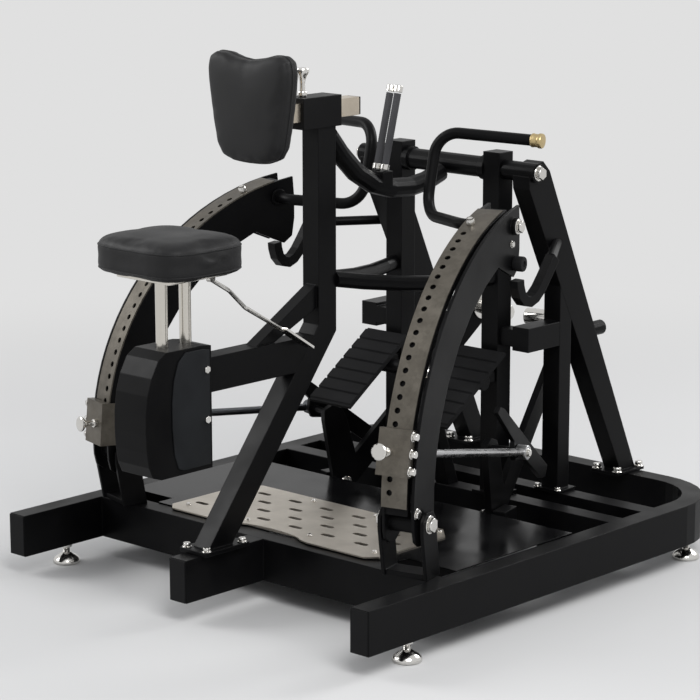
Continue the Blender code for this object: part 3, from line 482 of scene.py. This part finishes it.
def hug(points, cushion):
    """A closed line laid on a cushion's cover, with a point about every 8 mm."""
    cover = BVHTree.FromPolygons([v.co for v in cushion.data.vertices], [p.vertices for p in cushion.data.polygons])
    laid = []
    for a, b in zip(points, points[1:] + points[:1]):
        a, b = Vector(a) + SHIFT, Vector(b) + SHIFT
        count = max(1, round((b - a).length / STITCH))
        for i in range(count):
            on = cover.find_nearest(a.lerp(b, i / count))[0] - SHIFT
            if not laid or (on - laid[-1]).length > SHORTEST:
                laid.append(on)
    return laid


seat = stuffed("seat_cushion", "seat_pad", 0.006, 0.005, "seat")
chest = stuffed("chest_cushion", "chest_pad", 0.005, 0.004, "chest_slide")

SEAT_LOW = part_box("seat_pad")[0].z
SEAT_Y = -0.012
SEAT_HALF_X, SEAT_HALF_Y = 0.1745, 0.1545
for tag, height in (("top", 0.077), ("low", 0.010)):
    loop = []
    for i in range(96):
        turn = 2 * math.pi * i / 96
        c, s = math.cos(turn), math.sin(turn)
        x = SEAT_HALF_X * math.copysign(abs(c) ** 0.5, c)
        y = SEAT_Y + SEAT_HALF_Y * math.copysign(abs(s) ** 0.5, s)
        loop.append((x, y, SEAT_LOW + height))
    tube("seat_piping_" + tag, hug(loop, seat), 0.0022, leather, "seat", "leather", closed=True, corner=3)

SHIELD = [(0.0, 1.497), (0.05, 1.503), (0.09, 1.512), (0.125, 1.512), (0.148, 1.498), (0.155, 1.47), (0.153, 1.43),
          (0.145, 1.37), (0.134, 1.31), (0.12, 1.255), (0.098, 1.224), (0.06, 1.212), (0.03, 1.209)]
SHIELD_Z = 1.365
PIPING_Y = 0.302
PIPING_IN = 0.982
ring = SHIELD + [(0.0, 1.208)] + [(-x, z) for x, z in reversed(SHIELD[1:])]
ring = [(x * PIPING_IN, PIPING_Y, SHIELD_Z + (z - SHIELD_Z) * PIPING_IN) for x, z in ring]
tube("chest_piping", hug(ring, chest), 0.0024, leather, "chest_slide", "leather", closed=True, corner=3)


# Fixed grips: ribbed rubber sleeves on chromed stubs, side by side on the spine.
# Moulded rubber, mid grey and matt, with rings every 6 mm.
grip_rubber = coat("moulded_grey_rubber", ("#3a3a3c", "#4a4a4c"), 0.72, 1.0, 0.5, 0.001)
grip_way = Vector((0, 0.066, 0.25)).normalized()
RIBS = [(0.0105 if k % 2 else 0.0099, 0.016 + 0.003 * k) for k in range(68)]
GRIP_FOOT = [(0.0115, 0), (0.0125, 0.001), (0.0125, 0.0145), (0.0115, 0.0155)]
GRIP_TIP = [(0.0115, 0.2205), (0.0125, 0.2215), (0.0125, 0.237), (0.011, 0.240), (0.006, 0.2412)]
for tag, sign in SIDES:
    start = Vector((sign * 0.0145, 0.806, 1.1455))
    bm = bmesh.new()
    turned(bm, RIBS, start, grip_way, 28)
    finish_mesh("grip_sleeve_" + tag, bm, grip_rubber, "frame", "rubber_grip", "grip_" + tag)
    bm = bmesh.new()
    turned(bm, GRIP_FOOT, start, grip_way, 28)
    turned(bm, GRIP_TIP, start, grip_way, 28)
    finish_mesh("grip_collars_" + tag, bm, chrome, "frame", "chrome")


# Rear frame bolts: the stays' top bolts through the shaft bosses, and the flange bolts on the rear rail.
# Bright plated hexagon heads on washers.
FLANGE_TOP = 0.1893
for tag, sign in SIDES:
    bm = bmesh.new()
    hex_bolt(bm, (sign * 0.334, 1.10, 1.135), (sign, 0, 0), 0.017, 0.016)
    for x in (0.254, 0.330):
        for y in (1.503, 1.610):
            hex_bolt(bm, (sign * x, y, FLANGE_TOP), UP, 0.0115, 0.016)
    for x in (0.254, 0.330):
        hex_bolt(bm, (sign * x, 1.215, FLANGE_TOP), UP, 0.008, 0.010)
    finish_mesh("stay_bolts_" + tag, bm, chrome, "frame", "chrome")


# Footrests: ribbed rubber pads moulded on steel, bolted to the cross tube.
# Black rubber with a dusty matt skin.
COLLAR = [(0.0225, 0), (0.027, 0.0006), (0.027, 0.012), (0.0225, 0.0126)]
tread = coat("ribbed_black_rubber", ("#151516", "#232324"), 0.66, 1.5, 0.5, 0.002)
wear(["footplate_left", "footplate_right"], tread)
for tag, sign in SIDES:
    bm = bmesh.new()
    turned(bm, COLLAR, Vector((sign * 0.045, 0.98, 0.537)), (sign, 0, 0), 32)
    finish_mesh("footrest_collar_" + tag, bm, chrome, "frame", "chrome")


# Arc levers: crescent plates with a galvanised perforated strip along the outer edge.
# Zinc spangle is about 10 mm across, dark warm grey and dull, rubbed brighter by the carriages.
galvanised, t = blank("galvanised_strip")
place = node(t, "ShaderNodeTexCoord")
spangle = node(t, "ShaderNodeTexVoronoi", {"Vector": (place, "Object"), "Scale": 100.0})
rub = node(t, "ShaderNodeTexNoise", {"Vector": (place, "Object"), "Scale": 22.0, "Detail": 5.0})
both = node(t, "ShaderNodeMixRGB", {"Fac": 0.15, "Color1": (rub, 1), "Color2": (spangle, 1)})
flat = node(t, "ShaderNodeRGBToBW", {"Color": (both, 0)})
shade = ramp(t, flat, (0.3, "#57534c"), (0.72, "#736e66"))
gloss = uneven(t, rub, 0.36, 0.56)
zinc = node(t, "ShaderNodeBsdfPrincipled", {"Base Color": (shade, 0), "Metallic": 0.9, "Roughness": (gloss, 0)})
node(t, "ShaderNodeOutputMaterial", {"Surface": (zinc, 0)})
wear(["strip_left", "strip_right", "carriage_left", "carriage_right"], galvanised)

SPLAY = math.radians(14.4)
PIVOT = Vector((0.537, 0.376, 0.285))
LEVER = Matrix.Translation(PIVOT) @ Matrix.Rotation(SPLAY, 4, "Z")
HINGE_U, HINGE_W = -0.088, 0.045
PLATE_FACE = 0.0473
BOLT_SEAT = 0.0472
CHEEK_FACE = 0.0672
HANDLE_ROOT = (-PLATE_FACE, 0.435, 0.745)
HANDLE_TURNS = (Vector((0.122, 0.862, 1.025)), Vector((0.118, 0.912, 1.254)), Vector((0.40, 0.985, 1.246)))
HANDLE_END = [(0.0178, 0), (0.0185, 0.0006), (0.0195, 0.003), (0.0195, 0.0055), (0.0185, 0.008), (0.0183, 0.0195),
              (0.0205, 0.022), (0.0208, 0.024), (0.0208, 0.030), (0.0195, 0.0328), (0.012, 0.034)]
HANDLE_FLANGE = [(0.0165, 0), (0.024, 0.0004), (0.0245, 0.001), (0.0245, 0.006), (0.0235, 0.007), (0.0165, 0.0075)]
BUMPER = [(0.017, 0), (0.0195, 0.001), (0.021, 0.004), (0.021, 0.0255), (0.0195, 0.029), (0.009, 0.030), (0.008, 0.026)]
black_rubber = coat("moulded_black_rubber", ("#121213", "#1c1c1d"), 0.6, 1.5, 0.4, 0.001)
brass = plated("brass_plate", "#c4b083", 0.28)


def on_side(sign, point):
    """A point given in the right lever's frame, on either side of the machine."""
    p = LEVER @ Vector(point)
    return Vector((sign * p.x, p.y, p.z))


def across_lever(sign):
    """The direction out across a side's lever."""
    return (on_side(sign, (1, 0, 0)) - on_side(sign, (0, 0, 0))).normalized()


def bent(points, radius, steps=10):
    """A line with its corners turned into arcs, for a bent tube."""
    path = [Vector(points[0])]
    for before, corner, after in zip(points, points[1:], points[2:]):
        a = (before - corner).normalized()
        b = (after - corner).normalized()
        half = a.angle(b) / 2
        centre = corner + (a + b).normalized() * (radius / math.sin(half))
        first = corner + a * (radius / math.tan(half)) - centre
        last = corner + b * (radius / math.tan(half)) - centre
        turn = first.angle(last)
        for i in range(steps + 1):
            k = i / steps
            path.append(centre + (first * math.sin((1 - k) * turn) + last * math.sin(k * turn)) / math.sin(turn))
    return path + [Vector(points[-1])]


root = LEVER @ Vector(HANDLE_ROOT)
toward = LEVER.to_3x3() @ Vector((-1, 0, 0))
handle_run = bent([root, root + toward * 0.055, *HANDLE_TURNS], 0.07)
for tag, sign in SIDES:
    body = "lever_" + tag
    run = [Vector((sign * p.x, p.y, p.z)) for p in handle_run]
    tube("handle_tube_" + tag, run, 0.016, black_coat, body, "black_coat", "handle_" + tag)
    way = (run[-1] - run[-2]).normalized()
    bm = bmesh.new()
    turned(bm, HANDLE_END, run[-1] + way * 0.0003, way)
    finish_mesh("handle_end_" + tag, bm, brass, body, "collar", "handle_cap_" + tag)
    bm = bmesh.new()
    turned(bm, HANDLE_FLANGE, on_side(sign, HANDLE_ROOT), (run[1] - run[0]).normalized())
    finish_mesh("handle_flange_" + tag, bm, black_coat, body, "black_coat")
    across = across_lever(sign)
    bm = bmesh.new()
    turned(bm, BUMPER, on_side(sign, (PLATE_FACE, 0.458, 0.645)), across)
    finish_mesh("lever_bumper_" + tag, bm, black_rubber, body, "rubber", "bumper_" + tag)
    bm = bmesh.new()
    hex_bolt(bm, on_side(sign, (0.0591, 0.452, 0.748)), across, 0.0165, 0.0145)
    hex_bolt(bm, on_side(sign, (BOLT_SEAT, 0.44, 0.70)), across, 0.008, 0.006)
    hex_bolt(bm, on_side(sign, (BOLT_SEAT, HINGE_U - 0.034, HINGE_W + 0.033)), across, 0.0125, 0.008)
    finish_mesh("lever_bolts_" + tag, bm, chrome, body, "chrome")
    bm = bmesh.new()
    for way in (1, -1):
        hex_bolt(bm, on_side(sign, (way * CHEEK_FACE, HINGE_U, HINGE_W)), across * way, 0.0195, 0.014)
    finish_mesh("pivot_bolts_" + tag, bm, chrome, "frame", "chrome")


# Carriages: zinc-plated blocks that ride on the strips, each with a sprung pull knob and a push rod.
# The right rod is bright plated steel. The left one is the same rod in a darker grey, which is painted shade for the
# far side.
ARC = (0.586, 0.084)
ARC_R = 0.725
STRIP_TOP = ARC_R + 0.004
HOLE_LINE = -0.024
BLOCK_SIDE = 0.0372
ROD_LINE = 0.0245
STOP_AT = 110.5
PULL_KNOB = [(0.0115, 0), (0.012, 0.0006), (0.012, 0.0092), (0.0112, 0.0102), (0.0078, 0.0105), (0.0068, 0.016),
             (0.0068, 0.027), (0.0085, 0.033), (0.015, 0.0405), (0.0205, 0.0455), (0.022, 0.049), (0.0218, 0.052),
             (0.019, 0.0543), (0.010, 0.055)]
STOP = [(0.0105, 0), (0.0115, 0.001), (0.0115, 0.012), (0.009, 0.017), (0.004, 0.0195)]
ROD = [(0.0102, 0.014), (0.011, 0.016), (0.011, ARC_R - 0.089), (0.0135, ARC_R - 0.0885), (0.0135, ARC_R - 0.0735),
       (0.0125, ARC_R - 0.0726)]
ROD_EYE = [(0.0195, -0.018), (0.021, -0.0168), (0.021, 0.0128), (0.0195, 0.014)]
bright_rod = plated("bright_drawn_rod", "#b9b9ba", 0.2)
# The left rod's darker grey and duller polish are painted shade: it is the same plated rod as on the right, darkened
# because it stands on the far side.
rod_in_painted_shade = plated("rod_painted_shade", "#55575a", 0.28)


def on_arc(sign, degrees, across, radius, along=0):
    """A point across a side's lever, out along the arc's radius, and along the arc."""
    turn = math.radians(degrees)
    u = ARC[0] + radius * math.cos(turn) - along * math.sin(turn)
    w = ARC[1] + radius * math.sin(turn) + along * math.cos(turn)
    return on_side(sign, (across, u, w))


def outward(sign, degrees):
    """The direction out along the arc's radius."""
    return (on_arc(sign, degrees, 0, 1) - on_arc(sign, degrees, 0, 0)).normalized()


for tag, sign, degrees, rod_metal in (("right", 1, 167.8, bright_rod), ("left", -1, 175.6, rod_in_painted_shade)):
    out = outward(sign, degrees)
    across = across_lever(sign)
    bm = bmesh.new()
    turned(bm, PULL_KNOB, on_arc(sign, degrees, HOLE_LINE, STRIP_TOP + 0.0223), out)
    finish_mesh("carriage_knob_" + tag, bm, chrome, "pull_pin_" + tag, "chrome", "pull_pin_" + tag)
    bm = bmesh.new()
    for along in (0.045, 0.0, -0.045):
        hex_bolt(bm, on_arc(sign, degrees, BLOCK_SIDE, STRIP_TOP + 0.011, along), across, 0.0105, 0.0152)
    finish_mesh("carriage_bolts_" + tag, bm, chrome, "carriage_" + tag, "chrome")
    bm = bmesh.new()
    turned(bm, STOP, on_arc(sign, STOP_AT, HOLE_LINE, STRIP_TOP + 0.0002), outward(sign, STOP_AT))
    finish_mesh("strip_stop_" + tag, bm, chrome, "lever_" + tag, "chrome")
    centre = on_arc(sign, degrees, ROD_LINE, 0)
    bm = bmesh.new()
    turned(bm, ROD, centre, out)
    turned(bm, ROD_EYE, centre, across)
    finish_mesh("push_rod_bar_" + tag, bm, rod_metal, "push_rod_" + tag, "steel_rod", "push_rod_" + tag)
    bm = bmesh.new()
    hex_bolt(bm, on_arc(sign, degrees, ROD_LINE + 0.0141, 0), across, 0.0105, 0.0065)
    finish_mesh("push_rod_bolt_" + tag, bm, chrome, "push_rod_" + tag, "chrome")


# Weight arms: plate levers on axles on the base, each with a chromed horn for loose plates.
# The horns have a flange at the root and a turned chamfer at the tip.
HORN = [(0.039, 0), (0.040, 0.001), (0.040, 0.005), (0.039, 0.006), (0.025, 0.0064), (0.025, 0.126), (0.0235, 0.1285),
        (0.021, 0.130)]
for tag, sign in SIDES:
    inward = -across_lever(sign)
    bm = bmesh.new()
    turned(bm, HORN, on_side(sign, (-0.0963, 1.1407, 0.355)), inward)
    finish_mesh("plate_horn_" + tag, bm, chrome, "weight_arm_" + tag, "chrome", "horn_" + tag)
    bm = bmesh.new()
    hex_bolt(bm, on_side(sign, (-0.112, 0.627, -0.13)), inward, 0.017, 0.012)
    finish_mesh("arm_axle_bolt_" + tag, bm, chrome, "frame", "chrome")
